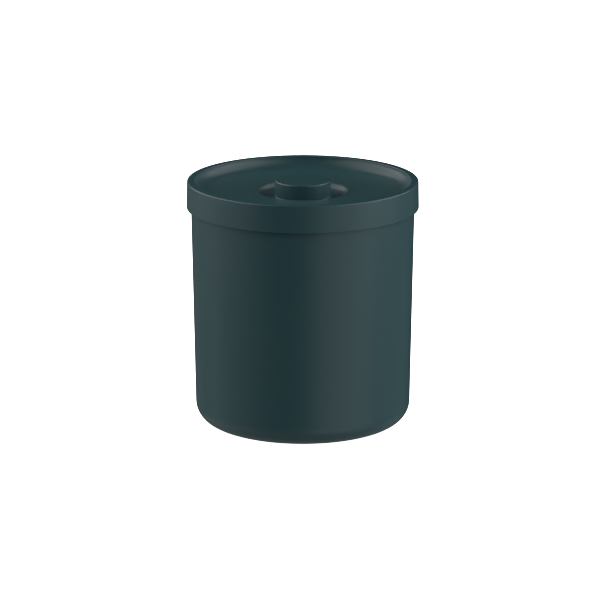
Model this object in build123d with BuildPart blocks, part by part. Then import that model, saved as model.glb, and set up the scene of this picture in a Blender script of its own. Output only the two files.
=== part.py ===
from build123d import *
import os
from math import acos, cos, degrees, radians, sin, sqrt, tan

# A soaking jar for nail instruments: a moulded jar with a lift-off lid, and a lifter that
# carries the instruments on a perforated tray. The knob, the rod and the tray are one
# lifter. The knob rises out of its finger well first, then a collar takes the lid along.
# Millimetres, +Z up. The origin is the centre of the footprint, on the worktop.

# ---- Jar ----
jar_height = 160.8          # worktop to the top of the lip
jar_base_radius = 72.0      # outside wall carried down to the worktop
jar_draft = 1.0             # degrees, the wall opens upwards to leave its mould
jar_wall = 2.2
jar_floor = 3.0
jar_corner_radius = 14.8    # rounded outside corner between wall and floor
lip_edge_radius = 0.6
base_recess_radius = 48.0   # hollow under the floor, so that the jar stands on a ring
base_recess_depth = 1.0
fill_line_height = 126.0    # raised line inside that marks the fill level
fill_line_proud = 0.6       # and half of its height

# ---- Foot ring ----
foot_proud = 0.4            # how far the soft ring lifts the jar off the worktop
foot_seat_depth = 1.2
foot_ring_radius = 53.0     # to the middle of the ring
foot_ring_width = 4.0

# ---- Lid ----
lid_draft = 1.0             # degrees, the skirt opens downwards
lid_wall = 1.8
skirt_wall = 1.88
skirt_height = 17.9
skirt_gap = 0.5             # lip to the inside of the skirt
rim_thickness = 2.0
rim_edge_radius = 0.7
rim_inner_edge_radius = 0.35
skirt_edge_radius = 0.5
dish_depth = 7.2            # rim down to the floor of the dished top
dish_wall_run = 8.3         # how far the curved wall of the dish runs inwards
plug_gap = 0.44             # lip to the underside of the dish wall
well_depth = 4.0            # dish floor down to the floor of the finger well
well_wall_run = 6.8
well_edge_radius = 0.6
hub_length = 9.1
hub_wall = 3.5
lid_rib_count = 6
lid_rib_thickness = 1.6
lid_rib_end_gap = 4.0       # end of a rib to the start of the curved wall
lid_rib_root_drop = 5.0     # height of a rib where it meets the hub

# ---- Seal ----
seal_height = 3.3
seal_gap = 0.15

# ---- Knob ----
knob_radius = 18.6
finger_gap = 11.7           # side of the knob to the edge of the finger well
knob_edge_radius = 0.7
knob_wall = 2.4
knob_crown = 2.6
knob_flare = 1.6            # how far the foot of the knob spreads
knob_foot_edge = 0.3
knob_foot_land = 0.1        # flat left between the flare and the edge of the foot
knob_rib_count = 6
knob_rib_thickness = 1.4
knob_rib_lift = 3.0         # foot of the knob up to its ribs
boss_wall = 2.6

# ---- Threaded insert, bush and nut ----
insert_radius = 5.0
insert_cover = 3.1          # plastic left above the insert
insert_lift = 0.4           # insert to the flange of the bush below it
bush_radius = 5.0
bush_flange_radius = 8.0
bush_flange_thickness = 1.2
bush_nut_flats = 14.0
bush_nut_thickness = 4.0

# ---- Rod and stop collar ----
rod_radius = 3.0
rod_neck_radius = 2.5       # threaded ends of the rod
rod_play = 0.1              # running fit in the bush
press_play = 0.02           # pressed and threaded pieces
lifter_travel = 20.0        # how far the knob rises before the collar meets the bush nut
stop_gap = 0.3
collar_radius = 6.0
collar_height = 8.0
collar_edge = 0.6
collar_screw_radius = 1.5   # tapped hole for the grub screw that holds the collar

# ---- Tray ----
tray_float = 1.5            # jar floor to the end of the rod
rod_end_length = 0.5        # thread that stands out of the tray nut
tray_nut_flats = 8.0
tray_nut_thickness = 2.7
washer_radius = 9.0
washer_thickness = 1.0
tray_gauge = 1.0
tray_clearance = 3.4        # rolled edge to the wall of the jar
tray_wall_height = 11.0
tray_corner_radius = 3.0
tray_bead_radius = 1.2
drain_hole_radius = 3.5
drain_first_row = 18.0      # radius of the innermost ring of holes
drain_row_spacing = 14.0
drain_rows = 3
drain_holes_per_row = 6     # holes added with each row outwards

# ---- Guide ----
guide_height = 82.0         # worktop to the middle of the wire ring
guide_inset = 6.0           # wire ring in from the edge of the tray
guide_wire_radius = 1.5
guide_spoke_radius = 1.25
guide_spoke_weld = 0.4      # how far a spoke sinks into the ring that lies on it
guide_spoke_count = 4
guide_spoke_start = 45.0    # degrees
sleeve_radius = 5.5
sleeve_height = 12.0
sleeve_edge = 0.5


def jar_radius(height):
    """Outside radius of the drafted jar wall at a height."""
    return jar_base_radius + height * tan(radians(jar_draft))


def jar_inner_radius(height):
    """Inside radius of the jar wall at a height."""
    return jar_radius(height) - jar_wall


def skirt_radius(height):
    """Outside radius of the drafted lid skirt at a height."""
    return lid_top_radius + (lid_top - height) * tan(radians(lid_draft))


def curve_radius(centre_radius, run, drop, depth):
    """Radius of a quarter-ellipse wall, at a depth below its top edge."""
    return centre_radius + run * sqrt(1 - (depth / drop) ** 2)


def curve_sweep(drop, depth):
    """Angle from the bottom of that quarter ellipse up to a depth below its top edge."""
    return degrees(acos(depth / drop))


def radial_plane(angle):
    """Upright plane through the axis: x outwards at the angle, y up."""
    turn = radians(angle)
    return Plane(origin=(0, 0, 0), x_dir=(cos(turn), sin(turn), 0), z_dir=(sin(turn), -cos(turn), 0))


def ring_section(inner, outer, bottom, top):
    """Rectangle of a turned ring, drawn in the open sketch."""
    with Locations(((inner + outer) / 2, (bottom + top) / 2)):
        Rectangle(outer - inner, top - bottom)


# ---- Heights and radii that follow from the sizes ----
jar_base = foot_proud
floor_top = jar_base + jar_floor
lip_radius = jar_radius(jar_height)
lip_inner_radius = jar_inner_radius(jar_height)
floor_inner_radius = jar_inner_radius(floor_top)
fill_line_top = fill_line_height + fill_line_proud
fill_line_bottom = fill_line_height - fill_line_proud

lid_top = jar_height + seal_height + rim_thickness
lid_drop = lid_top - jar_height
rim_underside = lid_top - rim_thickness
skirt_bottom = lid_top - skirt_height
lid_top_radius = lip_radius + skirt_gap + skirt_wall
dish_floor = lid_top - dish_depth
plug_run = dish_wall_run + lid_wall
plug_drop = dish_depth + lid_wall
dish_floor_radius = lip_inner_radius - plug_gap - curve_radius(0, plug_run, plug_drop, lid_drop)
rim_inner_radius = dish_floor_radius + dish_wall_run

well_floor = dish_floor - well_depth
well_radius = knob_radius + finger_gap
well_floor_radius = well_radius - well_wall_run
well_under_run = well_wall_run + lid_wall
well_under_drop = well_depth + lid_wall
well_underside = well_floor - lid_wall
dish_underside = dish_floor - lid_wall
rib_top = dish_underside + lid_wall / 2
rib_top_run = well_wall_run + lid_wall / 2
rib_top_drop = well_depth + lid_wall / 2
hub_radius = bush_radius + hub_wall
hub_bottom = well_underside - hub_length

bush_flange_top = well_floor + bush_flange_thickness
bush_bottom = hub_bottom - bush_nut_thickness
insert_bottom = bush_flange_top + insert_lift
insert_top = lid_top - insert_cover
boss_radius = insert_radius + boss_wall
knob_ceiling = lid_top - knob_crown
knob_inner_radius = knob_radius - knob_wall

collar_top = bush_bottom - lifter_travel - stop_gap
rod_end = floor_top + tray_float
tray_nut_bottom = rod_end + rod_end_length
lower_washer_bottom = tray_nut_bottom + tray_nut_thickness
tray_bottom = lower_washer_bottom + washer_thickness
tray_top = tray_bottom + tray_gauge
rod_shoulder = tray_top + washer_thickness
tray_edge_radius = floor_inner_radius - tray_clearance
tray_wall_radius = tray_edge_radius - tray_bead_radius
tray_rim = tray_bottom + tray_wall_height
guide_ring_radius = tray_edge_radius - guide_inset
guide_spoke_height = guide_height - guide_wire_radius - guide_spoke_radius + guide_spoke_weld


# ---- Jar body: one drafted shell, with a rounded corner and a recessed base ----
with BuildPart() as jar_body:
    with BuildSketch(Plane.XZ) as jar_section:
        with BuildLine():
            Polyline(
                (0, jar_base + base_recess_depth),
                (base_recess_radius, jar_base + base_recess_depth),
                (base_recess_radius, jar_base),
                (jar_radius(jar_base), jar_base),
                (lip_radius, jar_height),
                (lip_inner_radius, jar_height),
                (jar_inner_radius(fill_line_top), fill_line_top),
                (jar_inner_radius(fill_line_height) - fill_line_proud, fill_line_height),
                (jar_inner_radius(fill_line_bottom), fill_line_bottom),
                (floor_inner_radius, floor_top),
                (0, floor_top),
                close=True,
            )
        make_face()
        corners = jar_section.vertices()
        fillet(corners.sort_by_distance((jar_radius(jar_base), jar_base))[0], jar_corner_radius)
        fillet(corners.sort_by_distance((floor_inner_radius, floor_top))[0], jar_corner_radius - jar_wall)
        lip_corners = jar_section.vertices().group_by(Axis.Y)[-1]
        fillet(lip_corners, lip_edge_radius)
    revolve(axis=Axis.Z)
    with BuildSketch(Plane.XZ):
        ring_section(
            foot_ring_radius - foot_ring_width / 2,
            foot_ring_radius + foot_ring_width / 2,
            jar_base,
            jar_base + foot_seat_depth,
        )
    revolve(axis=Axis.Z, mode=Mode.SUBTRACT)
jar_body.part.label = "jar_body"

# ---- Foot ring: a soft ring pressed into the groove of the base ----
with BuildPart() as foot_ring:
    with BuildSketch(Plane.XZ):
        ring_section(
            foot_ring_radius - foot_ring_width / 2 + press_play,
            foot_ring_radius + foot_ring_width / 2 - press_play,
            0,
            jar_base + foot_seat_depth,
        )
    revolve(axis=Axis.Z)
foot_ring.part.label = "foot_ring"

# ---- Lid shell: rim, skirt, dished top, finger well and hub in one moulding ----
with BuildPart() as lid_shell:
    with BuildSketch(Plane.XZ) as lid_section:
        with BuildLine():
            Line((bush_radius, well_floor), (well_floor_radius, well_floor))
            EllipticalCenterArc((well_floor_radius, dish_floor), well_wall_run, well_depth, -90, arc_size=90)
            Line((well_radius, dish_floor), (dish_floor_radius, dish_floor))
            EllipticalCenterArc((dish_floor_radius, lid_top), dish_wall_run, dish_depth, -90, arc_size=90)
            Polyline(
                (rim_inner_radius, lid_top),
                (lid_top_radius, lid_top),
                (skirt_radius(skirt_bottom), skirt_bottom),
                (skirt_radius(skirt_bottom) - skirt_wall, skirt_bottom),
                (skirt_radius(rim_underside) - skirt_wall, rim_underside),
                (curve_radius(dish_floor_radius, plug_run, plug_drop, rim_thickness), rim_underside),
            )
            EllipticalCenterArc(
                (dish_floor_radius, lid_top), plug_run, plug_drop, -90,
                arc_size=curve_sweep(plug_drop, rim_thickness),
            )
            Line(
                (dish_floor_radius, dish_underside),
                (curve_radius(well_floor_radius, well_under_run, well_under_drop, lid_wall), dish_underside),
            )
            EllipticalCenterArc(
                (well_floor_radius, dish_floor), well_under_run, well_under_drop, -90,
                arc_size=curve_sweep(well_under_drop, lid_wall),
            )
            Polyline(
                (well_floor_radius, well_underside),
                (hub_radius, well_underside),
                (hub_radius, hub_bottom),
                (bush_radius, hub_bottom),
                (bush_radius, well_floor),
            )
        make_face()
        well_edge = lid_section.vertices().sort_by_distance((well_radius, dish_floor))[0]
        fillet(well_edge, well_edge_radius)
        rim_corners = lid_section.vertices().group_by(Axis.Y)[-1].sort_by(Axis.X)
        fillet(rim_corners[0], rim_inner_edge_radius)
        fillet(rim_corners[-1], rim_edge_radius)
        skirt_corner = lid_section.vertices().sort_by_distance((skirt_radius(skirt_bottom), skirt_bottom))[0]
        fillet(skirt_corner, skirt_edge_radius)
    revolve(axis=Axis.Z)
    for rib in range(lid_rib_count):
        with BuildSketch(radial_plane(rib * 360 / lid_rib_count)):
            with BuildLine():
                EllipticalCenterArc(
                    (well_floor_radius, dish_floor), rib_top_run, rib_top_drop, -90,
                    arc_size=curve_sweep(rib_top_drop, lid_wall / 2),
                )
                Polyline(
                    (curve_radius(well_floor_radius, rib_top_run, rib_top_drop, lid_wall / 2), rib_top),
                    (dish_floor_radius - lid_rib_end_gap, rib_top),
                    (dish_floor_radius - lid_rib_end_gap, dish_underside),
                    (hub_radius, well_underside - lid_rib_root_drop),
                    (hub_radius - hub_wall / 2, well_underside - lid_rib_root_drop),
                    (hub_radius - hub_wall / 2, well_underside + lid_wall / 2),
                    (well_floor_radius, well_underside + lid_wall / 2),
                )
            make_face()
        extrude(amount=lid_rib_thickness / 2, both=True)
lid_shell.part.label = "lid_shell"

# ---- Lid seal: a soft ring in the channel under the rim, pressed down on the lip ----
with BuildPart() as lid_seal:
    with BuildSketch(Plane.XZ):
        with BuildLine():
            Polyline(
                (curve_radius(dish_floor_radius, plug_run, plug_drop, rim_thickness) + seal_gap, rim_underside),
                (skirt_radius(rim_underside) - skirt_wall - seal_gap, rim_underside),
                (skirt_radius(rim_underside) - skirt_wall - seal_gap, jar_height),
                (lip_inner_radius, jar_height),
                close=True,
            )
        make_face()
    revolve(axis=Axis.Z)
lid_seal.part.label = "lid_seal"

# ---- Rod bush: a flanged guide through the hub of the lid ----
with BuildPart() as rod_bush:
    with BuildSketch(Plane.XZ):
        ring_section(rod_radius + rod_play, bush_radius - press_play, bush_bottom, well_floor)
        ring_section(rod_radius + rod_play, bush_flange_radius, well_floor, bush_flange_top)
    revolve(axis=Axis.Z)
rod_bush.part.label = "rod_bush"

# ---- Bush nut: holds the bush up against the hub ----
with BuildPart() as bush_nut:
    with BuildSketch(Plane.XY.offset(bush_bottom)):
        RegularPolygon(bush_nut_flats / 2, 6, major_radius=False)
        Circle(bush_radius, mode=Mode.SUBTRACT)
    extrude(amount=bush_nut_thickness)
bush_nut.part.label = "bush_nut"

# ---- Knob: a hollow cap with a flared foot, a boss and ribs inside ----
with BuildPart() as knob:
    with BuildSketch(Plane.XZ) as knob_section:
        with BuildLine():
            Polyline(
                (0, lid_top),
                (knob_radius, lid_top),
                (knob_radius, well_floor + knob_foot_edge),
                (knob_radius + knob_flare, well_floor + knob_foot_edge),
                (knob_radius + knob_flare, well_floor),
                (knob_inner_radius, well_floor),
                (knob_inner_radius, knob_ceiling),
                (boss_radius, knob_ceiling),
                (boss_radius, insert_bottom),
                (insert_radius, insert_bottom),
                (insert_radius, insert_top),
                (0, insert_top),
                close=True,
            )
        make_face()
        top_corner = knob_section.vertices().sort_by_distance((knob_radius, lid_top))[0]
        fillet(top_corner, knob_edge_radius)
        flare_corner = knob_section.vertices().sort_by_distance((knob_radius, well_floor + knob_foot_edge))[0]
        fillet(flare_corner, knob_flare - knob_foot_land)
    revolve(axis=Axis.Z)
    for rib in range(knob_rib_count):
        with BuildSketch(radial_plane(rib * 360 / knob_rib_count)):
            ring_section(
                boss_radius - boss_wall / 2,
                knob_inner_radius + knob_wall / 2,
                well_floor + knob_rib_lift,
                knob_ceiling + knob_crown / 2,
            )
        extrude(amount=knob_rib_thickness / 2, both=True)
knob.part.label = "knob"

# ---- Knob insert: a threaded sleeve moulded into the boss of the knob ----
with BuildPart() as knob_insert:
    with BuildSketch(Plane.XZ):
        ring_section(rod_neck_radius + press_play, insert_radius - press_play, insert_bottom, insert_top)
    revolve(axis=Axis.Z)
knob_insert.part.label = "knob_insert"

# ---- Lift rod: one turned rod with a neck at each end ----
with BuildPart() as lift_rod:
    with BuildSketch(Plane.XZ):
        ring_section(0, rod_neck_radius, rod_end, insert_top)
        ring_section(0, rod_radius, rod_shoulder, insert_bottom)
    revolve(axis=Axis.Z)
lift_rod.part.label = "lift_rod"

# ---- Stop collar: meets the bush nut when the knob is up ----
with BuildPart() as stop_collar:
    with BuildSketch(Plane.XZ) as collar_section:
        ring_section(rod_radius + press_play, collar_radius, collar_top - collar_height, collar_top)
        chamfer(collar_section.vertices().group_by(Axis.X)[-1], collar_edge)
    revolve(axis=Axis.Z)
    with BuildSketch(Plane.XZ):
        with Locations((0, collar_top - collar_height / 2)):
            Circle(collar_screw_radius)
    extrude(amount=collar_radius, mode=Mode.SUBTRACT)
stop_collar.part.label = "stop_collar"

# ---- Guide sleeve and wire guide: keep the instruments upright around the rod ----
with BuildPart() as guide_sleeve:
    with BuildSketch(Plane.XZ) as sleeve_section:
        ring_section(
            rod_radius + press_play,
            sleeve_radius,
            guide_spoke_height - sleeve_height / 2,
            guide_spoke_height + sleeve_height / 2,
        )
        chamfer(sleeve_section.vertices().group_by(Axis.X)[-1], sleeve_edge)
    revolve(axis=Axis.Z)
guide_sleeve.part.label = "guide_sleeve"

with BuildPart() as guide_ring:
    for spoke in range(guide_spoke_count):
        turn = radians(guide_spoke_start + spoke * 360 / guide_spoke_count)
        outward = (cos(turn), sin(turn), 0)
        start = (sleeve_radius * outward[0], sleeve_radius * outward[1], guide_spoke_height)
        with BuildSketch(Plane(origin=start, z_dir=outward)):
            Circle(guide_spoke_radius)
        extrude(amount=guide_ring_radius + guide_wire_radius - sleeve_radius)
    with Locations((0, 0, guide_height)):
        Torus(guide_ring_radius, guide_wire_radius)
guide_ring.part.label = "guide_ring"

# ---- Tray: a pressed dish with a rolled edge, pierced so that it drains ----
with BuildPart() as tray:
    with BuildSketch(Plane.XZ) as tray_section:
        ring_section(rod_neck_radius + press_play, tray_wall_radius, tray_bottom, tray_top)
        ring_section(tray_wall_radius - tray_gauge, tray_wall_radius, tray_bottom, tray_rim)
        outer_corner = tray_section.vertices().sort_by_distance((tray_wall_radius, tray_bottom))[0]
        fillet(outer_corner, tray_corner_radius)
        inner_corner = tray_section.vertices().sort_by_distance((tray_wall_radius - tray_gauge, tray_top))[0]
        fillet(inner_corner, tray_corner_radius - tray_gauge)
        with Locations((tray_wall_radius, tray_rim)):
            Circle(tray_bead_radius)
    revolve(axis=Axis.Z)
    for row in range(drain_rows):
        with BuildSketch(Plane.XY.offset(tray_bottom)):
            with PolarLocations(drain_first_row + row * drain_row_spacing, (row + 1) * drain_holes_per_row):
                Circle(drain_hole_radius)
        extrude(amount=tray_gauge, mode=Mode.SUBTRACT)
tray.part.label = "tray"

# ---- Washers and nut that clamp the tray against the shoulder of the rod ----
with BuildPart() as upper_washer:
    with BuildSketch(Plane.XZ):
        ring_section(rod_neck_radius + press_play, washer_radius, tray_top, tray_top + washer_thickness)
    revolve(axis=Axis.Z)
upper_washer.part.label = "upper_washer"

with BuildPart() as lower_washer:
    with BuildSketch(Plane.XZ):
        ring_section(rod_neck_radius + press_play, washer_radius, lower_washer_bottom, tray_bottom)
    revolve(axis=Axis.Z)
lower_washer.part.label = "lower_washer"

with BuildPart() as tray_nut:
    with BuildSketch(Plane.XY.offset(tray_nut_bottom)):
        RegularPolygon(tray_nut_flats / 2, 6, major_radius=False)
        Circle(rod_neck_radius + press_play, mode=Mode.SUBTRACT)
    extrude(amount=tray_nut_thickness)
tray_nut.part.label = "tray_nut"

# ---- One file for each piece ----
os.makedirs("parts", exist_ok=True)
export_step(jar_body.part, "parts/jar_body.step")
export_step(foot_ring.part, "parts/foot_ring.step")
export_step(lid_shell.part, "parts/lid_shell.step")
export_step(lid_seal.part, "parts/lid_seal.step")
export_step(rod_bush.part, "parts/rod_bush.step")
export_step(bush_nut.part, "parts/bush_nut.step")
export_step(knob.part, "parts/knob.step")
export_step(knob_insert.part, "parts/knob_insert.step")
export_step(lift_rod.part, "parts/lift_rod.step")
export_step(stop_collar.part, "parts/stop_collar.step")
export_step(guide_sleeve.part, "parts/guide_sleeve.step")
export_step(guide_ring.part, "parts/guide_ring.step")
export_step(tray.part, "parts/tray.step")
export_step(upper_washer.part, "parts/upper_washer.step")
export_step(lower_washer.part, "parts/lower_washer.step")
export_step(tray_nut.part, "parts/tray_nut.step")
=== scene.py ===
# %% [markdown]
# # A soaking jar for nail instruments
# The object is a moulded plastic jar with a dished lid. A knob stands in a finger well in
# the lid, and under it hangs a steel rod with a wire guide and a pierced tray. Nearly every
# piece is round, so nearly every piece is made the way a turner would make it: draw half of
# its section, then spin that section round the upright axis.

from math import asin, cos, degrees, hypot, pi, radians, sin, sqrt, tan

import bmesh
import bpy
from mathutils import Matrix, Vector
from mathutils.geometry import delaunay_2d_cdt


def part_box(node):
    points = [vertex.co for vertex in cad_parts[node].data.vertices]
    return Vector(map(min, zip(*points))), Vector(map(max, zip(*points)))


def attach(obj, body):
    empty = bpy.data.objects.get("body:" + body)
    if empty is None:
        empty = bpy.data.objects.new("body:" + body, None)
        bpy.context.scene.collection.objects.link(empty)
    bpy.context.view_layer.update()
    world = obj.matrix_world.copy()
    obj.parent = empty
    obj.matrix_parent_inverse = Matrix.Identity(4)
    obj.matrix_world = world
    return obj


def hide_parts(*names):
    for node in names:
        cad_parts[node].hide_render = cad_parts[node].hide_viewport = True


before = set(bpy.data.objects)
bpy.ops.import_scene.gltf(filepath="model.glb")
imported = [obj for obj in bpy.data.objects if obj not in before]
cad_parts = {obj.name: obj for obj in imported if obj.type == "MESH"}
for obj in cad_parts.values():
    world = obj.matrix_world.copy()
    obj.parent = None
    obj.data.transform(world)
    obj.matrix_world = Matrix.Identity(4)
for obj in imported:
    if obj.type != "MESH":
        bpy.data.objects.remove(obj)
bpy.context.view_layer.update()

# %% [markdown]
# ## Working in millimetres
# Blender works in metres, but a moulding is drawn in millimetres. Sections are written in
# millimetres here and are scaled once, when the mesh is made. Overall sizes are read from
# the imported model, so that a piece always sits where the construction says.

# %% Sizes read from the model
MM = 0.001


def span(node):
    """Lowest height, highest height and outside radius of a piece, in millimetres."""
    low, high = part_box(node)
    return low.z / MM, high.z / MM, high.x / MM


jar_base, jar_top, lip_radius = span("jar_body")
hub_bottom, lid_top, lid_radius = span("lid_shell")
well_floor, knob_top, knob_foot = span("knob")
print(f"jar lip {jar_top:.1f} high and {2 * lip_radius:.1f} across")
print(f"lid {lid_top:.1f} high and {2 * lid_radius:.1f} across")
print(f"knob stands {knob_top - well_floor:.1f} above the floor of its well")

# %% [markdown]
# ## Drawing a section
# A moulded part has no truly sharp corner, because steel cannot be cut that way and plastic
# would not fill it. So a section is a list of corners, each with its own rounding. The
# rounding is drawn as an arc that touches both sides. A point is added just before and just
# after each arc: it holds the flat side flat, so that smooth shading does not bleed
# from the rounding across the flat.

# %% Corners, roundings and curved walls
HOLD = 0.12           # distance from a rounding to the point that holds the flat, in mm
ARC_STEP = 9.0        # degrees of turn for each facet of a rounding
LARGEST_SHARE = 0.999 # share of its room that a rounding may take, so that no side vanishes


def bend(before, corner, after):
    """Points of an arc that replaces the corner, with the rounding that is its third number.

    Two roundings on one side share its length in proportion, so they never run into
    each other. A neighbour without a third number takes no room.
    """
    corner_at, rounding = Vector(corner[:2]), corner[2]
    to_before = Vector(before[:2]) - corner_at
    to_after = Vector(after[:2]) - corner_at
    room_before = to_before.length * rounding / (rounding + sum(before[2:]))
    room_after = to_after.length * rounding / (rounding + sum(after[2:]))
    opening = to_before.angle(to_after)
    room = LARGEST_SHARE * min(room_before, room_after)
    reach = min(rounding / tan(opening / 2), room)
    radius = reach * tan(opening / 2)
    first, last = to_before.normalized(), to_after.normalized()
    centre = corner_at + (first + last).normalized() * hypot(reach, radius)
    start = corner_at + first * reach - centre
    end = corner_at + last * reach - centre
    turn = start.angle(end)
    count = max(2, round(degrees(turn) / ARC_STEP))
    points = []
    if reach + HOLD < room_before:
        points.append(corner_at + first * (reach + HOLD))
    for step in range(count + 1):
        share = step / count
        across = (start * sin((1 - share) * turn) + end * sin(share * turn)) / sin(turn)
        points.append(centre + across)
    if reach + HOLD < room_after:
        points.append(corner_at + last * (reach + HOLD))
    return [tuple(point) for point in points]


def section(corners, closed=True):
    """Turns (radius, height) and (radius, height, rounding) corners into points."""
    points = []
    for index, corner in enumerate(corners):
        at_end = not closed and index in (0, len(corners) - 1)
        if len(corner) == 2 or at_end:
            points.append(corner[:2])
        else:
            points.extend(bend(corners[index - 1], corner, corners[(index + 1) % len(corners)]))
    return points


def arc(centre, run, drop, start, end, steps=20):
    """Points along part of an ellipse round a centre, in degrees."""
    points = []
    for step in range(steps + 1):
        angle = radians(start + (end - start) * step / steps)
        points.append((centre[0] + run * cos(angle), centre[1] + drop * sin(angle)))
    return points


square_corner = bend((0, 10), (0, 0, 1.0), (10, 0))
print("a square corner, rounded by 1 mm, becomes", len(square_corner), "points")

# %% [markdown]
# ## Turning a section round the axis
# What a lathe does is done here with a stack of rings: each point of the section becomes a
# ring of points round the upright axis, and neighbouring rings are joined by faces.
# `bmesh.ops.spin` draws the same surface, but it leaves the faces in another order at each
# run, and rings that are laid in order always come out the same. 192 steps keep the outline
# of a 155 mm lid round to a few hundredths of a millimetre; a thin wire needs only 24. A ring
# may also change its radius with the angle, which is how a hexagon nut is made further on.

# %% The lathe
FULL_STEPS = 192     # jar, lid, knob, tray and soft rings
BAR_STEPS = 96       # rod, bush, sleeve, nuts and washers
SMALL_STEPS = 48     # grub screw and ejector marks
WIRE_STEPS = 24      # wires and welds


def stacked(levels, closed=True, steps=BAR_STEPS):
    """A mesh through rings. Each level gives a radius and a height for an angle."""
    mesh = bmesh.new()
    rows = []
    for level in levels:
        row = []
        for step in range(steps):
            angle = 2 * pi * step / steps
            radius, height = level(angle)
            place = Vector((radius * cos(angle), radius * sin(angle), height))
            row.append(mesh.verts.new(place * MM))
        rows.append(row)
    pairs = list(zip(rows, rows[1:]))
    if closed:
        pairs.append((rows[-1], rows[0]))
    for lower, upper in pairs:
        for step in range(steps):
            following = (step + 1) % steps
            mesh.faces.new((lower[step], lower[following], upper[following], upper[step]))
    return mesh


def spun(points, closed=True, steps=FULL_STEPS):
    """The surface that a section, in millimetres, sweeps round the upright axis."""
    return stacked([lambda angle, point=point: point for point in points], closed, steps)


print(f"facets of the lid lie {lid_radius * (1 - cos(pi / FULL_STEPS)):.3f} mm inside the true circle")

# %% [markdown]
# ## From meshes to a piece
# A piece may be made of several meshes, such as a shell and its ribs. In each of them the
# points that coincide are joined and the faces are turned outwards. The piece is shaded
# smooth, except where two faces meet at a clear angle. Then it is tied to the body that it
# moves with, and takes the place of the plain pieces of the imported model.

# %% Joining, shading and tying to a body
WELD = 1e-6          # points closer than this, in metres, become one
SHARP_ABOVE = 38.0   # faces that meet at more degrees than this keep a hard edge


def put_together(name, parts, sharp_above=SHARP_ABOVE):
    """One piece from several meshes: outward faces, smooth shading, hard edges kept hard."""
    whole = bmesh.new()
    for part in parts:
        bmesh.ops.remove_doubles(part, verts=part.verts, dist=WELD)
        bmesh.ops.recalc_face_normals(part, faces=part.faces)
        step = bpy.data.meshes.new("step")
        part.to_mesh(step)
        part.free()
        whole.from_mesh(step)
        bpy.data.meshes.remove(step)
    data = bpy.data.meshes.new(name)
    whole.to_mesh(data)
    whole.free()
    data.polygons.foreach_set("use_smooth", [True] * len(data.polygons))
    data.set_sharp_from_angle(angle=radians(sharp_above))
    piece = bpy.data.objects.new(name, data)
    bpy.context.scene.collection.objects.link(piece)
    return piece


def turned(name, points, closed=True, steps=FULL_STEPS):
    """A piece that is one spun section and nothing more."""
    return put_together(name, [spun(points, closed, steps)])


def stands_for(piece, body, finish, slot, *nodes):
    """Puts a piece on its body, gives it a finish and lets it stand for its CAD pieces."""
    piece.data.materials.append(finish)
    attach(piece, body)
    if nodes:
        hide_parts(*nodes)
    print(f"{piece.name}: {len(piece.data.polygons)} faces")
    return piece

# %% [markdown]
# ## Ribs
# A moulded rib is a flat plate that stands on a radius. Its outline is drawn in the same
# plane as the sections, given a thickness, and all its edges are broken by a small bevel,
# as the mould leaves them.

# %% A rib
def rib(outline, angle, thickness, rounding):
    """A plate on a radial plane, from (radius, height) corners, with its edges broken."""
    outward = Vector((cos(radians(angle)), sin(radians(angle)), 0))
    across = Vector((-outward.y, outward.x, 0)) * thickness / 2
    mesh = bmesh.new()
    sides = []
    for side in (-1, 1):
        sides.append([
            mesh.verts.new((outward * radius + across * side + Vector((0, 0, height))) * MM)
            for radius, height in outline
        ])
    mesh.faces.new(sides[0])
    mesh.faces.new(reversed(sides[1]))
    for index in range(len(outline)):
        following = (index + 1) % len(outline)
        near = (sides[0][index], sides[0][following])
        far = (sides[1][following], sides[1][index])
        mesh.faces.new(near + far)
    bmesh.ops.bevel(
        mesh, geom=list(mesh.edges), offset=rounding * MM, segments=2, profile=0.5, affect="EDGES"
    )
    return mesh

# %% [markdown]
# ## Bars that lie across
# A spoke or a screw is turned upright like everything else, and is then laid in its own
# direction from its own starting point.

# %% Laying a turned mesh
def along(mesh, direction, origin):
    """Lays a spun mesh so that its axis runs along a direction from an origin, in millimetres."""
    turn = Vector(direction).to_track_quat("Z", "Y").to_matrix().to_4x4()
    mesh.transform(Matrix.Translation(Vector(origin) * MM) @ turn)
    return mesh

# %% [markdown]
# ## Hexagon nuts
# A nut is a stack of rings whose radius changes with the angle, so that its flats are
# straight. The chamfer that a lathe cuts across them leaves the curved edge that makes
# a nut look like a nut.

# %% A nut
def hexagon(flats):
    """Radius of a hexagon at an angle. One corner points along X."""
    return lambda angle: flats / 2 / cos(angle % (pi / 3) - pi / 6)


def hex_nut(flats, bore, low, high):
    """A hexagon nut with the chamfer that a lathe cuts across its corners."""
    corner = hexagon(flats)
    flat = flats / 2 - 0.15
    countersink = 0.3

    def chamfer(angle):
        return (corner(angle) - flat) * tan(radians(30))

    return stacked([
        lambda angle: (bore, low + countersink),
        lambda angle: (bore + countersink, low),
        lambda angle: (flat, low),
        lambda angle: (corner(angle), low + chamfer(angle)),
        lambda angle: (corner(angle), high - chamfer(angle)),
        lambda angle: (flat, high),
        lambda angle: (bore + countersink, high),
        lambda angle: (bore, high - countersink),
    ])

# %% [markdown]
# ## Colour and nodes
# Colours are written as they look on a screen, in sRGB hex, and a shader wants them linear.
# One helper adds a node, sets what it is given and links what is another node's output.

# %% Colour and nodes
def linear(code):
    """An sRGB hex colour as the linear colour that a shader wants."""
    parts = [int(code[place:place + 2], 16) / 255 for place in (1, 3, 5)]
    lit = [c / 12.92 if c <= 0.04045 else ((c + 0.055) / 1.055) ** 2.4 for c in parts]
    return (*lit, 1.0)


def add(tree, kind, inputs=None, **settings):
    """Adds one node. An input is a value, or the output of another node."""
    node = tree.nodes.new("ShaderNode" + kind)
    for name, value in settings.items():
        setattr(node, name, value)
    for name, value in (inputs or {}).items():
        if isinstance(value, bpy.types.NodeSocket):
            tree.links.new(value, node.inputs[name])
        else:
            node.inputs[name].default_value = value
    return node


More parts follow.
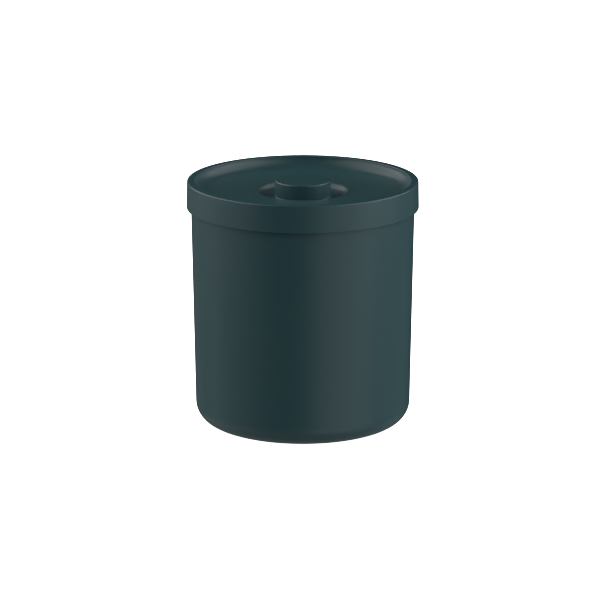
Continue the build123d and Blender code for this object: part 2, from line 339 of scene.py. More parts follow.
def new_finish(name):
    """An empty material with a Principled shader. Gives the material, the tree and the shader."""
    finish = bpy.data.materials.new(name)
    finish.use_nodes = True
    tree = finish.node_tree
    return finish, tree, tree.nodes["Principled BSDF"]

# %% [markdown]
# ## Dressing a surface
# No real surface is even, so every finish here is dressed in the same way. One pattern, sized
# in millimetres, shifts the colour a little and lifts the surface by microns, and a pattern
# also varies the gloss, because wear and flow marks change it before they change anything else.

# %% Patterns and the dress of a surface
def patches(tree, place, size, detail=2.0):
    """An uneven pattern with patches that many millimetres across, or one size per axis."""
    sizes = size if isinstance(size, tuple) else (size, size, size)
    scaled = add(tree, "Mapping", {"Vector": place, "Scale": [1 / (one * MM) for one in sizes]})
    pattern = add(
        tree, "TexNoise",
        {"Vector": scaled.outputs["Vector"], "Scale": 1.0, "Detail": detail, "Roughness": 0.55},
    )
    return pattern.outputs["Fac"]


def dress(tree, shader, pattern, colours, depth, worn, dullness):
    """Gives a shader two close colours and a relief, depth millimetres deep, from one pattern.

    The roughness follows the pattern called worn: most of it lies between the two values
    of dullness.
    """
    gloss = add(tree, "MapRange", {
        "Value": worn, "From Min": 0.3, "From Max": 0.7, "To Min": dullness[0], "To Max": dullness[1],
    })
    tint = add(
        tree, "Mix",
        {"Factor": pattern, "A": linear(colours[0]), "B": linear(colours[1])}, data_type="RGBA",
    )
    relief = add(tree, "Bump", {"Height": pattern, "Distance": depth * MM, "Strength": 1.0})
    tree.links.new(tint.outputs["Result"], shader.inputs["Base Color"])
    tree.links.new(gloss.outputs["Result"], shader.inputs["Roughness"])
    tree.links.new(relief.outputs["Normal"], shader.inputs["Normal"])

# %% [markdown]
# ## Matt polypropylene
# Jar, lid and knob are injection-moulded polypropylene, coloured right through. The mould is
# spark-eroded to a fine grain, so the surface is matt: it shows broad soft reflections and no
# mirror image. The real grain is about a tenth of a millimetre across. It is drawn half a
# millimetre across and five microns deep, because a finer one would not show. A slow, faint
# unevenness in the gloss, 45 mm across, keeps a large moulded wall from looking computed.

# %% Polypropylene, spark-eroded mould finish
def moulded_polypropylene(name, colours, roughness):
    finish, tree, shader = new_finish(name)
    place = add(tree, "TexCoord").outputs["Object"]
    grain = patches(tree, place, 0.5)
    flow = patches(tree, place, 45.0, detail=3.0)
    dress(tree, shader, grain, colours, 0.005, flow, (roughness - 0.02, roughness + 0.02))
    shader.inputs["IOR"].default_value = 1.49
    return finish


PETROL = ("#2f5054", "#2d4d52")
polypropylene = moulded_polypropylene("polypropylene_petrol_matt", PETROL, 0.37)
print("made", polypropylene.name)

# %% [markdown]
# ## Silicone, rubber and acetal
# Three more plastics, each told apart by gloss and by how far light goes into it. Silicone is
# milky: light enters and comes out a few millimetres away, so its edges glow. The rubber of
# the foot ring is dark and dull. Acetal, which the bush and its nut are turned from, is white,
# waxy and slightly glossy, with fine rings from the lathe.

# %% The soft and the white plastics
def silicone_milky(name):
    finish, tree, shader = new_finish(name)
    place = add(tree, "TexCoord").outputs["Object"]
    cloud = patches(tree, place, 2.5)
    dress(tree, shader, cloud, ("#d9dedb", "#cfd6d3"), 0.004, cloud, (0.34, 0.44))
    shader.inputs["IOR"].default_value = 1.41
    shader.inputs["Subsurface Weight"].default_value = 0.45
    shader.inputs["Subsurface Scale"].default_value = 2.0 * MM
    return finish


def rubber_dull(name):
    finish, tree, shader = new_finish(name)
    place = add(tree, "TexCoord").outputs["Object"]
    grain = patches(tree, place, 0.35)
    dress(tree, shader, grain, ("#2c2e2f", "#242627"), 0.012, grain, (0.68, 0.80))
    shader.inputs["IOR"].default_value = 1.52
    return finish


def lathe_rings(tree, pitch):
    """Fine rings round the upright axis, as a turning tool leaves them."""
    place = add(tree, "TexCoord").outputs["Object"]
    axes = add(tree, "SeparateXYZ", {"Vector": place})
    flat = add(tree, "CombineXYZ", {"X": axes.outputs["X"], "Y": axes.outputs["Y"]})
    radius = add(tree, "VectorMath", {0: flat.outputs["Vector"]}, operation="LENGTH")
    profile = add(tree, "CombineXYZ", {"X": radius.outputs["Value"], "Z": axes.outputs["Z"]})
    return patches(tree, profile.outputs["Vector"], pitch, detail=1.0)


def acetal_turned(name):
    finish, tree, shader = new_finish(name)
    marks = lathe_rings(tree, 0.18)
    dress(tree, shader, marks, ("#e9e6dd", "#e2dfd5"), 0.003, marks, (0.26, 0.36))
    shader.inputs["IOR"].default_value = 1.48
    shader.inputs["Subsurface Weight"].default_value = 0.15
    shader.inputs["Subsurface Scale"].default_value = 1.0 * MM
    return finish


silicone = silicone_milky("silicone_milky")             # milky, with glowing edges
rubber = rubber_dull("thermoplastic_rubber_dull")       # nearly black, no gloss
acetal = acetal_turned("acetal_white_turned")           # white and waxy, faint rings
print("made", silicone.name, rubber.name, acetal.name)

# %% [markdown]
# ## Steel and brass
# Everything that hangs in the disinfectant is stainless steel, and only the way it was worked
# tells the pieces apart. The rod is ground, so it carries very fine rings and a long bright
# streak. The collar and sleeve are turned, with coarser rings. The wire is drawn and
# electropolished, nearly a mirror. The tray is cut from brushed sheet, with lines that all run
# one way. The washers are tumbled, so they are even and dull. The insert is free-cutting brass.

# %% Metals, told apart by how they were worked
def worked_metal(name, colours, pattern_of, roughness, spread, depth, stretch=0.0):
    """A metal whose pattern is made by pattern_of(tree). Stretch draws its highlights out."""
    finish, tree, shader = new_finish(name)
    pattern = pattern_of(tree)
    dress(tree, shader, pattern, colours, depth, pattern, (roughness - spread, roughness + spread))
    shader.inputs["Metallic"].default_value = 1.0
    shader.inputs["Anisotropic"].default_value = stretch
    if stretch:
        round_axis = add(tree, "Tangent", direction_type="RADIAL", axis="Z")
        tree.links.new(round_axis.outputs["Tangent"], shader.inputs["Tangent"])
    return finish


def speckle(size):
    """An even pattern with patches of that size, in millimetres, or one size per axis."""
    return lambda tree: patches(tree, add(tree, "TexCoord").outputs["Object"], size)


def rings(pitch):
    """The mark of a turning tool with that pitch, in millimetres."""
    return lambda tree: lathe_rings(tree, pitch)

# %% [markdown]
# ## The metals of this jar
# Bare stainless steel sends back a little more red than blue, so it is a warm grey. Free-cutting
# brass is about three parts copper to two of zinc, which makes it a pale yellow.

# %% Finishes of steel and brass
STAINLESS = ("#d3cfca", "#c6c2bd")
BRASS = ("#e6cf92", "#dcc383")
# Ground bar: very fine rings that draw the light out into one long streak. Real ones lie
# a hundredth of a millimetre apart; they are drawn wider, because those would not show.
ground_steel = worked_metal("stainless_ground", STAINLESS, rings(0.06), 0.20, 0.04, 0.0008, stretch=0.5)
# Turned steel: coarser rings and a softer streak.
turned_steel = worked_metal("stainless_turned", STAINLESS, rings(0.2), 0.26, 0.05, 0.003, stretch=0.4)
# Electropolished wire: nearly a mirror, with just enough waviness to look drawn.
polished_wire = worked_metal("stainless_wire_electropolished", STAINLESS, speckle(0.8), 0.14, 0.03, 0.0015)
# Brushed sheet: lines 14 mm long and 0.12 mm apart, all one way, as a coarse belt leaves
# them. They make the floor of the tray change from light to dark as one walks round it.
BRUSHED = (14.0, 0.12, 0.12)
brushed_sheet = worked_metal("stainless_sheet_brushed", STAINLESS, speckle(BRUSHED), 0.30, 0.08, 0.002)
# Tumbled washers: even and dull, with no direction.
tumbled_steel = worked_metal("stainless_tumbled", STAINLESS, speckle(0.3), 0.40, 0.05, 0.004)
# Bright nuts and screw: machined, a little glossier than the collar.
bright_nut = worked_metal("stainless_bright", STAINLESS, rings(0.12), 0.22, 0.04, 0.002)
# Free-cutting brass: warm yellow, with the same rings as turned steel.
turned_brass = worked_metal("brass_turned", BRASS, rings(0.15), 0.27, 0.05, 0.003)
print(len(bpy.data.materials), "finishes")

# %% [markdown]
# ## The jar
# One drafted shell. The wall leans out by one degree so that the moulding comes off its
# core, the bottom corner is a generous curve, and the base is hollowed so that the jar
# stands on its rubber ring and not on its middle, where the mould was filled. The stub that
# is left there is the gate mark. A raised line inside shows how far to fill.

# %% Jar
DRAFT = tan(radians(1.0))
JAR_WALL, JAR_FLOOR = 2.2, 3.0
JAR_CORNER = 13.9
LIP_EDGE = 0.6
FILL_LINE, FILL_PROUD = 126.0, 0.6
RECESS_RADIUS, RECESS_DEPTH = 48.0, 1.0
GATE_RADIUS, GATE_LENGTH = 1.3, 0.25
FOOT_WIDTH = 4.0
PRESS = 0.02      # gap that a pressed or threaded piece keeps, in mm
floor_top = jar_base + JAR_FLOOR
recess_top = jar_base + RECESS_DEPTH
ring_low, ring_top, ring_outer = span("foot_ring")
groove_outer = ring_outer + PRESS
groove_inner = groove_outer - FOOT_WIDTH


def jar_wall(height):
    """Outside radius of the jar at a height."""
    return lip_radius - (jar_top - height) * DRAFT


lip_inner = lip_radius - JAR_WALL
jar_section = section([
    (0.0, recess_top - GATE_LENGTH),
    (GATE_RADIUS, recess_top - GATE_LENGTH, 0.2),
    (GATE_RADIUS + 0.3, recess_top, 0.1),
    (RECESS_RADIUS, recess_top, 0.4),
    (RECESS_RADIUS, jar_base, 0.4),
    (groove_inner, jar_base, 0.15),
    (groove_inner, ring_top),
    (groove_outer, ring_top),
    (groove_outer, jar_base, 0.15),
    (jar_wall(jar_base), jar_base, JAR_CORNER),
    (lip_radius, jar_top, LIP_EDGE),
    (lip_inner, jar_top, LIP_EDGE),
    (jar_wall(FILL_LINE + FILL_PROUD) - JAR_WALL, FILL_LINE + FILL_PROUD, 0.3),
    (jar_wall(FILL_LINE) - JAR_WALL - FILL_PROUD, FILL_LINE, 0.3),
    (jar_wall(FILL_LINE - FILL_PROUD) - JAR_WALL, FILL_LINE - FILL_PROUD, 0.3),
    (jar_wall(floor_top) - JAR_WALL, floor_top, JAR_CORNER - JAR_WALL),
    (0.0, floor_top),
], closed=False)
jar = turned("jar", jar_section, closed=False)
stands_for(jar, "jar", polypropylene, "jar_plastic", "jar_body")

# %% [markdown]
# ## The foot ring
# A soft ring pressed into a groove of the base, so that a full jar does not slide on a wet
# worktop. Three shallow grooves run round the face that it stands on.

# %% Foot ring
TREAD_HALF, TREAD_DEPTH = 0.25, 0.22
ring_inner = groove_inner + PRESS
ring_middle = (groove_inner + groove_outer) / 2
ring_corners = [(ring_inner, ring_low, 0.25)]
for tread in (-1.0, 0.0, 1.0):
    ring_corners += [
        (ring_middle + tread - TREAD_HALF, ring_low, 0.06),
        (ring_middle + tread, ring_low + TREAD_DEPTH, 0.06),
        (ring_middle + tread + TREAD_HALF, ring_low, 0.06),
    ]
ring_corners += [(ring_outer, ring_low, 0.25), (ring_outer, ring_top), (ring_inner, ring_top)]
foot_ring = turned("foot_ring_soft", section(ring_corners))
stands_for(foot_ring, "jar", rubber, "foot_rubber", "foot_ring")

# %% [markdown]
# ## The lid
# One moulding again. From the rim inwards it is a flat rim, a concave wall, a flat dish, a
# smaller concave wall and the floor of the finger well. Each concave wall is a quarter of an
# ellipse, upright at its top and level where it meets the floor, and the underside
# follows it at an even wall thickness.

# %% Sizes of the lid
LID_WALL = 1.8
SKIRT_WALL = 1.88
SKIRT_HEIGHT = 18.2
RIM = 2.0
DISH_DEPTH, DISH_RUN = 7.2, 8.3
WELL_DEPTH, WELL_RUN = 4.0, 6.8
WELL_EDGE = 30.3
PLUG_GAP = 0.44
HUB_RADIUS, HUB_BORE = 8.5, 5.0

dish_floor = lid_top - DISH_DEPTH
skirt_bottom = lid_top - SKIRT_HEIGHT
plug_run, plug_drop = DISH_RUN + LID_WALL, DISH_DEPTH + LID_WALL
plug_reach = plug_run * sqrt(1 - ((lid_top - jar_top) / plug_drop) ** 2)
dish_edge = lip_inner - PLUG_GAP - plug_reach
rim_inner = dish_edge + DISH_RUN
rim_underside = lid_top - RIM
skirt_top_radius = lid_radius - SKIRT_HEIGHT * DRAFT
channel_outer = skirt_top_radius + RIM * DRAFT - SKIRT_WALL
channel_inner = dish_edge + plug_run * sqrt(1 - (RIM / plug_drop) ** 2)
well_flat = WELL_EDGE - WELL_RUN
under_run, under_drop = WELL_RUN + LID_WALL, WELL_DEPTH + LID_WALL
well_underside = well_floor - LID_WALL
dish_underside = dish_floor - LID_WALL
print(f"dish {2 * dish_edge:.1f} across at its floor, finger well {2 * WELL_EDGE:.1f}")

# %% [markdown]
# ## The section of the lid
# It is drawn from the bore, up through the well and the dish, over the rim, down the skirt,
# and back along the underside with the channel that holds the seal.

# %% Lid
def start_below(depth, drop):
    """Angle at which an elliptical wall, drop deep, has come down by depth."""
    return -degrees(asin(depth / drop))


lid_section = section(
    [(HUB_BORE, well_floor, 0.3)]
    + arc((well_flat, dish_floor), WELL_RUN, WELL_DEPTH, -90, 0)[:-1]
    + [(WELL_EDGE, dish_floor, 0.15)]
    + arc((dish_edge, lid_top), DISH_RUN, DISH_DEPTH, -90, 0)[:-1]
    + [
        (rim_inner, lid_top, 0.55),
        (skirt_top_radius, lid_top, 1.0),
        (lid_radius, skirt_bottom, 0.2),
        (lid_radius - SKIRT_WALL, skirt_bottom, 0.3),
        (channel_outer, rim_underside),
    ]
    + arc((dish_edge, lid_top), plug_run, plug_drop, start_below(RIM, plug_drop), -90)
    + arc((well_flat, dish_floor), under_run, under_drop, start_below(LID_WALL, under_drop), -90)
    + [(HUB_RADIUS, well_underside, 0.8), (HUB_RADIUS, hub_bottom, 0.4), (HUB_BORE, hub_bottom, 0.3)]
)
lid = turned("lid", lid_section)
stands_for(lid, "lid", polypropylene, "lid_plastic", "lid_shell")

# %% [markdown]
# ## What the underside of a lid looks like
# Six thin ribs run from the hub out under the dish. They carry the pull of the knob into the
# shell without a thick wall, which would sink as it cools. Between them are six round marks,
# a tenth of a millimetre proud: the pins that push the lid out of its mould end there.

# %% Ribs and ejector marks under the lid
RIB_COUNT = 6
RIB_THICKNESS, RIB_EDGE = 1.6, 0.25
RIB_ROOT_DROP = 5.0
PIN_RADIUS, PIN_CIRCLE, PIN_PROUD = 3.0, 46.0, 0.1
half_wall = LID_WALL / 2
rib_root, rib_end = HUB_RADIUS - 1.3, dish_edge - 4.0
rib_drop = WELL_DEPTH + half_wall
rib_outline = [
    (rib_root, well_underside - RIB_ROOT_DROP),
    (HUB_RADIUS, well_underside - RIB_ROOT_DROP),
    (rib_end, dish_underside),
    (rib_end, dish_underside + half_wall),
    *arc((well_flat, dish_floor), WELL_RUN + half_wall, rib_drop, start_below(half_wall, rib_drop), -90, 6),
    (rib_root, well_underside + half_wall),
]
under_parts = []
for index in range(RIB_COUNT):
    under_parts.append(rib(rib_outline, index * 360 / RIB_COUNT, RIB_THICKNESS, RIB_EDGE))
for index in range(RIB_COUNT):
    bearing = radians((index + 0.5) * 360 / RIB_COUNT)
    mark = spun(section([
        (0.0, -PIN_PROUD),
        (PIN_RADIUS, -PIN_PROUD, 0.05),
        (PIN_RADIUS, 0.3),
        (0.0, 0.3),
    ], closed=False), closed=False, steps=SMALL_STEPS)
    mark_at = (PIN_CIRCLE * cos(bearing), PIN_CIRCLE * sin(bearing), dish_underside)
    under_parts.append(along(mark, (0, 0, 1), mark_at))
lid_ribs = put_together("lid_ribs", under_parts)
stands_for(lid_ribs, "lid", polypropylene, "lid_plastic", "lid_shell")

# %% [markdown]
# ## The seal
# A soft ring fills the channel under the rim and is pressed down on the lip by the weight of
# the lid, so that the disinfectant does not dry out. It is milky, and shows as a pale line
# under the rim when the lid is lifted.

# %% Lid seal
SEAL_GAP = 0.15
seal = turned("seal_ring", section([
    (channel_inner + SEAL_GAP, rim_underside, 0.2),
    (channel_outer - SEAL_GAP, rim_underside, 0.2),
    (channel_outer - SEAL_GAP, jar_top, 0.3),
    (lip_inner, jar_top, 0.3),
]))
stands_for(seal, "lid", silicone, "seal_silicone", "lid_seal")

# %% [markdown]
# ## Bush and bush nut
# The rod slides in a flanged bush that is clamped through the hub of the lid by a nut. Both
# are acetal: it needs no oil, and disinfectant does not harm it.

# %% Bush and nut
BUSH_BORE = 3.1
BUSH_NUT_FLATS = 14.0
bush_low, bush_top, flange_radius = span("rod_bush")
bush_radius = HUB_BORE - PRESS
bush = turned("bush", section([
    (BUSH_BORE, bush_low, 0.3),
    (bush_radius, bush_low, 0.3),
    (bush_radius, well_floor),
    (flange_radius, well_floor, 0.15),
    (flange_radius, bush_top, 0.3),
    (BUSH_BORE, bush_top, 0.3),
]), steps=BAR_STEPS)
stands_for(bush, "lid", acetal, "bush_plastic", "rod_bush")
bush_nut_mesh = hex_nut(BUSH_NUT_FLATS, HUB_BORE, bush_low, hub_bottom)
bush_nut = put_together("nut_of_bush", [bush_nut_mesh], sharp_above=25.0)
stands_for(bush_nut, "lid", acetal, "nut_plastic", "bush_nut")

# %% [markdown]
# ## The knob
# A hollow cap. Its top is flush with the rim of the lid, its edge is just broken, and its
# foot flares into the floor of the well, which keeps dirt from lodging round it. Inside, six
# ribs tie the wall to a boss, and the boss holds a brass sleeve for the thread of the rod.

# %% Knob and its insert
KNOB_RADIUS, KNOB_WALL, KNOB_CROWN = 18.6, 2.4, 2.6
KNOB_FOOT_EDGE = 0.3
BOSS_RADIUS, BOSS_BORE = 7.6, 5.0
KNOB_RIB_COUNT, KNOB_RIB_THICKNESS, KNOB_RIB_LIFT = 6, 1.4, 3.0
NECK = 2.5
insert_low, insert_top, insert_radius = span("knob_insert")
knob_ceiling = knob_top - KNOB_CROWN
knob_inner = KNOB_RADIUS - KNOB_WALL
knob = turned("knob_cap", section([
    (0.0, knob_top),
    (KNOB_RADIUS, knob_top, 1.0),
    (KNOB_RADIUS, well_floor + KNOB_FOOT_EDGE, 0.7),
    (knob_foot, well_floor + KNOB_FOOT_EDGE, 0.1),
    (knob_foot, well_floor),
    (knob_inner, well_floor, 0.2),
    (knob_inner, knob_ceiling, 0.5),
    (BOSS_RADIUS, knob_ceiling, 0.5),
    (BOSS_RADIUS, insert_low, 0.3),
    (BOSS_BORE, insert_low),
    (BOSS_BORE, insert_top),
    (0.0, insert_top),
], closed=False), closed=False)
stands_for(knob, "lifter", polypropylene, "knob_plastic", "knob")

rib_start, rib_stop = BOSS_RADIUS - 1.3, KNOB_RADIUS - KNOB_WALL / 2
rib_foot, rib_top = well_floor + KNOB_RIB_LIFT, knob_top - KNOB_CROWN / 2
knob_rib = [(rib_start, rib_foot), (rib_stop, rib_foot), (rib_stop, rib_top), (rib_start, rib_top)]
knob_ribs = put_together("knob_ribs", [
    rib(knob_rib, index * 360 / KNOB_RIB_COUNT, KNOB_RIB_THICKNESS, 0.2) for index in range(KNOB_RIB_COUNT)
])
stands_for(knob_ribs, "lifter", polypropylene, "knob_plastic", "knob")

insert = turned("threaded_insert", section([
    (NECK + PRESS, insert_low, 0.3),
    (insert_radius, insert_low, 0.3),
    (insert_radius, insert_top),
    (NECK + PRESS, insert_top),
]), steps=BAR_STEPS)
stands_for(insert, "lifter", turned_brass, "insert_brass", "knob_insert")

# %% [markdown]
# ## The rod
# One length of ground bar. Each end is turned down to a neck and threaded, the upper one for
# the insert and the lower one for the nut that clamps the tray. The shoulders are what the
# pieces are clamped against.

# %% Lift rod
rod_end, rod_top, rod_radius = span("lift_rod")
shoulder = span("upper_washer")[1]
rod = turned("rod", section([
    (0.0, rod_end),
    (NECK, rod_end, 0.3),
    (NECK, shoulder),
    (rod_radius, shoulder, 0.15),
    (rod_radius, insert_low, 0.15),
    (NECK, insert_low),
    (NECK, rod_top, 0.3),
    (0.0, rod_top),
], closed=False), closed=False, steps=BAR_STEPS)
stands_for(rod, "lifter", ground_steel, "rod_steel", "lift_rod")

# %% [markdown]
# ## The stop collar
# A turned collar with a grub screw. When the knob has risen 20 mm the collar meets the nut
# under the lid, and from there the lid comes along. The hole for the screw is cut with a
# boolean, because it crosses the round side of the collar.
# The collar is spun in 98 steps and not in 96, so that none of its upright lines runs through
# the middle of the hole, where the boolean would leave slivers.

# %% Stop collar
COLLAR_STEPS = 98
SCREW_HOLE = 1.5
SCREW_TIP = 3.6       # distance from the axis of the rod
FRONT = (0, -1, 0)
bored = rod_radius + PRESS
collar_low, collar_high, collar_radius = span("stop_collar")
collar_middle = (0, 0, (collar_low + collar_high) / 2)
collar = turned("collar", section([
    (bored, collar_low),
    (collar_radius, collar_low, 0.6),
    (collar_radius, collar_high, 0.6),
    (bored, collar_high),
]), steps=COLLAR_STEPS)

drill_start, drill_end = SCREW_TIP - 0.1, collar_radius + 1.0
drill_mesh = spun([
    (0.0, drill_start),
    (SCREW_HOLE, drill_start),
    (SCREW_HOLE, drill_end),
    (0.0, drill_end),
], closed=False, steps=SMALL_STEPS)
drill = put_together("drill", [along(drill_mesh, FRONT, collar_middle)])
cut = collar.modifiers.new("screw_hole", "BOOLEAN")
cut.object = drill
bpy.context.view_layer.update()
settled = collar.evaluated_get(bpy.context.evaluated_depsgraph_get())
drilled = bpy.data.meshes.new_from_object(settled)
collar.modifiers.remove(cut)
collar.data = drilled
bpy.data.objects.remove(drill)
drilled.set_sharp_from_angle(angle=radians(SHARP_ABOVE))
stands_for(collar, "lifter", turned_steel, "collar_steel", "stop_collar")

# %% [markdown]
# ## The grub screw
# A headless screw with a hexagon socket, sunk below the side of the collar. It is a stack of
# rings again: the socket goes down as a hexagon, and the rest is round.

# %% Grub screw
SCREW_RADIUS, SCREW_CHAMFER, SCREW_HEAD = 1.45, 0.2, 5.3
SOCKET_FLATS, SOCKET_DEPTH = 1.5, 0.9
socket = hexagon(SOCKET_FLATS)
screw_mesh = stacked([
    lambda angle: (0.0, SCREW_HEAD - SOCKET_DEPTH),
    lambda angle: (socket(angle), SCREW_HEAD - SOCKET_DEPTH),
    lambda angle: (socket(angle), SCREW_HEAD),
    lambda angle: (SCREW_RADIUS - SCREW_CHAMFER, SCREW_HEAD),
    lambda angle: (SCREW_RADIUS, SCREW_HEAD - SCREW_CHAMFER),
    lambda angle: (SCREW_RADIUS, SCREW_TIP),
    lambda angle: (0.0, SCREW_TIP),
], closed=False, steps=SMALL_STEPS)
grub_screw = put_together("grub_screw", [along(screw_mesh, FRONT, collar_middle)])
stands_for(grub_screw, "lifter", bright_nut, "collar_steel", "stop_collar")

# %% [markdown]
# ## The guide sleeve
# A short turned tube that is pressed on the rod and carries the spokes of the wire guide.

# %% Guide sleeve
sleeve_low, sleeve_high, sleeve_radius = span("guide_sleeve")
sleeve = turned("sleeve", section([
    (bored, sleeve_low),
    (sleeve_radius, sleeve_low, 0.5),
    (sleeve_radius, sleeve_high, 0.5),
    (bored, sleeve_high),
]), steps=BAR_STEPS)
stands_for(sleeve, "lifter", turned_steel, "sleeve_steel", "guide_sleeve")

# %% [markdown]
# ## The wire guide
# It keeps the instruments standing. A ring of 3 mm wire lies on four spokes, and each
# crossing is a resistance weld: the wires sink into each other and a little metal is
# pressed out round them. At the sleeve the spokes are welded with a fillet.

# %% Wire guide
WIRE, SPOKE = 1.5, 1.25             # radii of the ring's wire and of a spoke
SPOKE_COUNT, SPOKE_BEARING = 4, 45
FILLET = 1.1
NUGGET_RADIUS, NUGGET_HEIGHT, NUGGET_SINK = 1.9, 0.75, 0.2
guide_high, guide_outer = span("guide_ring")[1:]
ring_radius, ring_height = guide_outer - WIRE, guide_high - WIRE
spoke_start, spoke_end = sleeve_radius - 1.0, guide_outer - 0.05
spoke_height = (sleeve_low + sleeve_high) / 2
guide_parts = [spun(arc((ring_radius, ring_height), WIRE, WIRE, 0, 345, steps=23))]
for index in range(SPOKE_COUNT):
    bearing = radians(SPOKE_BEARING + 360 / SPOKE_COUNT * index)
    outward = (cos(bearing), sin(bearing), 0)
    spoke = spun(section([
        (0.0, spoke_start),
        (SPOKE, spoke_start),
        (SPOKE, spoke_end, 0.5),
        (0.0, spoke_end),
    ], closed=False), closed=False, steps=WIRE_STEPS)
    fillet = spun([
        (SPOKE - 0.4, sleeve_radius - 0.8),
        (SPOKE + FILLET, sleeve_radius - 0.8),
        *arc((SPOKE + FILLET, sleeve_radius + FILLET), FILLET, FILLET, 270, 180, steps=6),
        (SPOKE - 0.4, sleeve_radius + FILLET),
    ], steps=WIRE_STEPS)
    for part in (spoke, fillet):
        guide_parts.append(along(part, outward, (0, 0, spoke_height)))
    nugget = spun(
        arc((0, 0), NUGGET_RADIUS, NUGGET_HEIGHT, -90, 90, steps=10), closed=False, steps=WIRE_STEPS
    )
    crossing = Vector(outward) * ring_radius + Vector((0, 0, ring_height - WIRE + NUGGET_SINK))
    guide_parts.append(along(nugget, (0, 0, 1), crossing))
guide = put_together("wire_guide", guide_parts, sharp_above=50.0)
stands_for(guide, "lifter", polished_wire, "wire_steel", "guide_ring")

# %% [markdown]
# ## The wall of the tray
# A disc of 1 mm sheet is pierced, drawn up at its edge, and the edge is rolled over outwards,
# so that no cut edge is left to catch a finger. The rolled edge is solid round, with a seam
# outside where it comes back to the wall. All of that is spun like everything else.

# %% Tray wall and rolled edge
SHEET = 1.0
BEAD = 1.2            # radius of the rolled edge
TRAY_CORNER = 3.0
tray_low, bead_top, bead_outer = span("tray")
wall_outer = bead_outer - BEAD
wall_inner = wall_outer - SHEET
bead_height = bead_top - BEAD
sheet_top = tray_low + SHEET
floor_edge = wall_outer - TRAY_CORNER - 0.2
bead_end = 180 + degrees(asin(sqrt(1 - (SHEET / BEAD) ** 2)))
tray_mesh = spun(section([
    (floor_edge, tray_low),
    (wall_outer, tray_low, TRAY_CORNER),
    *arc((wall_outer, bead_height), BEAD, BEAD, -90, bead_end, steps=28),
    (wall_inner, sheet_top, TRAY_CORNER - SHEET),
    (floor_edge, sheet_top),
], closed=False), closed=False)
print(f"rolled edge {2 * BEAD:.1f} mm across, {bead_top - tray_low:.1f} mm above the underside")

# %% [markdown]
# ## The floor of the tray
# The disinfectant has to drain when the tray is lifted, so the floor has 36 holes. No spin can
# make them. The floor is laid out as a flat drawing instead: circles for the holes and for
# the edge, then a triangulation that keeps every circle. A punch leaves each hole
# slightly rolled in on the side it came from, so the circle at the top is a little wider. Wall
# and floor go into one mesh, so that they share the points where they meet.

# %% Tray floor, pierced
HOLE, CENTRE_HOLE = 3.5, 2.6
HOLE_STEPS = 32
ROWS, FIRST_ROW, ROW_SPACING, HOLES_PER_ROW = 3, 18, 14, 6
PUNCHED, BURNISHED = 0.15, 0.05     # how far the edge rolls in above and below
CENTRE = Vector((0, 0))
holes = []
for row in range(ROWS):
    count = HOLES_PER_ROW * (row + 1)
    for index in range(count):
        bearing = 2 * pi * index / count
        holes.append((FIRST_ROW + ROW_SPACING * row) * Vector((cos(bearing), sin(bearing))))
print(f"{len(holes)} holes of {2 * HOLE:.0f} mm in {ROWS} rows")


def circle(centre, radius, steps=HOLE_STEPS):
    """Points of a circle in the plane, in millimetres."""
    angles = [2 * pi * step / steps for step in range(steps)]
    return [centre + Vector((radius * cos(angle), radius * sin(angle))) for angle in angles]


def pierced_face(mesh, height, hole_radius):
    """One flat side of the tray floor, with its holes left open."""
    loops = [circle(CENTRE, floor_edge, FULL_STEPS), circle(CENTRE, CENTRE_HOLE)]
    loops += [circle(centre, hole_radius) for centre in holes]
    points, edges = [], []
    for loop in loops:
        first = len(points)
        points += loop
        edges += [(first + step, first + (step + 1) % len(loop)) for step in range(len(loop))]
    spots, _, triangles, _, _, _ = delaunay_2d_cdt(points, edges, [], 1, 1e-6)
    verts = [mesh.verts.new((spot.x * MM, spot.y * MM, height * MM)) for spot in spots]
    for triangle in triangles:
        middle = sum((spots[corner] for corner in triangle), Vector((0, 0))) / 3
        in_centre = middle.length < CENTRE_HOLE
        in_hole = any((middle - centre).length < hole_radius * 0.99 for centre in holes)
        if not (in_centre or in_hole):
            mesh.faces.new([verts[corner] for corner in triangle])


def hole_wall(mesh, centre, levels):
    """The wall of a hole through (radius, height) levels, from the top down."""
    rows = []
    for radius, height in levels:
        spots = circle(centre, radius)
        rows.append([mesh.verts.new((spot.x * MM, spot.y * MM, height * MM)) for spot in spots])
    for upper, lower in zip(rows, rows[1:]):
        for step in range(HOLE_STEPS):
            following = (step + 1) % HOLE_STEPS
            mesh.faces.new((upper[step], upper[following], lower[following], lower[step]))


pierced_face(tray_mesh, sheet_top, HOLE + PUNCHED)
pierced_face(tray_mesh, tray_low, HOLE + BURNISHED)
for centre in holes:
    hole_wall(tray_mesh, centre, [
        (HOLE + PUNCHED, sheet_top),
        (HOLE + 0.04, sheet_top - 0.04),
        (HOLE, sheet_top - PUNCHED),
        (HOLE, tray_low + BURNISHED),
        (HOLE + BURNISHED, tray_low),
    ])
hole_wall(tray_mesh, CENTRE, [(CENTRE_HOLE, sheet_top), (CENTRE_HOLE, tray_low)])
tray = put_together("tray_pierced", [tray_mesh], sharp_above=35.0)
stands_for(tray, "lifter", brushed_sheet, "tray_steel", "tray")

# %% [markdown]
# ## Washers and tray nut
# Two washers spread the clamping force over the thin sheet. A punched washer has one rounded
# edge and one sharp one.

